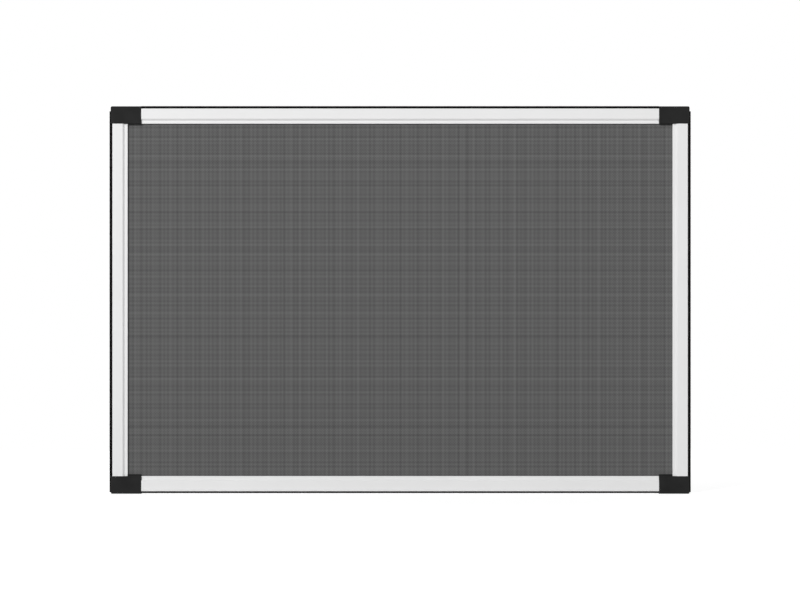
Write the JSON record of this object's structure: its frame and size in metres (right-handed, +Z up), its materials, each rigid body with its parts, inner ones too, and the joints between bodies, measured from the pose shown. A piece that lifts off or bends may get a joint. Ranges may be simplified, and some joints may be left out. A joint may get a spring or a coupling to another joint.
{
  "type": "window screen frame",
  "caption": "Rectangular insect screen for a window: white extruded bars plugged onto black corner blocks, grey woven mesh held by a cord in the back groove, and black pile seals on the edges.",
  "frame": {"origin": "under the middle of the screen's width, level with the foot of the lower corner blocks, halfway through the depth", "axes": "+X along the width, to the right seen from the front; +Y from the front to the back; +Z up; the front faces -Y"},
  "size_m": [0.75, 0.011, 0.5],
  "materials": {
    "frame_paint": "satin",
    "corner_plastic": "satin",
    "mesh_yarn": "matte",
    "spline_cord": "matte",
    "seal_pile": "matte"
  },
  "bodies": {
    "root": {"top_rail": "frame_paint", "bottom_rail": "frame_paint", "left_stile": "frame_paint", "right_stile": "frame_paint", "corner_top_left": "corner_plastic", "corner_top_right": "corner_plastic", "corner_bottom_left": "corner_plastic", "corner_bottom_right": "corner_plastic", "insect_mesh": "mesh_yarn", "spline_top": "spline_cord", "spline_bottom": "spline_cord", "spline_left": "spline_cord", "spline_right": "spline_cord", "seal_top": "seal_pile", "seal_bottom": "seal_pile", "seal_left": "seal_pile", "seal_right": "seal_pile"}
  },
  "joints": []
}
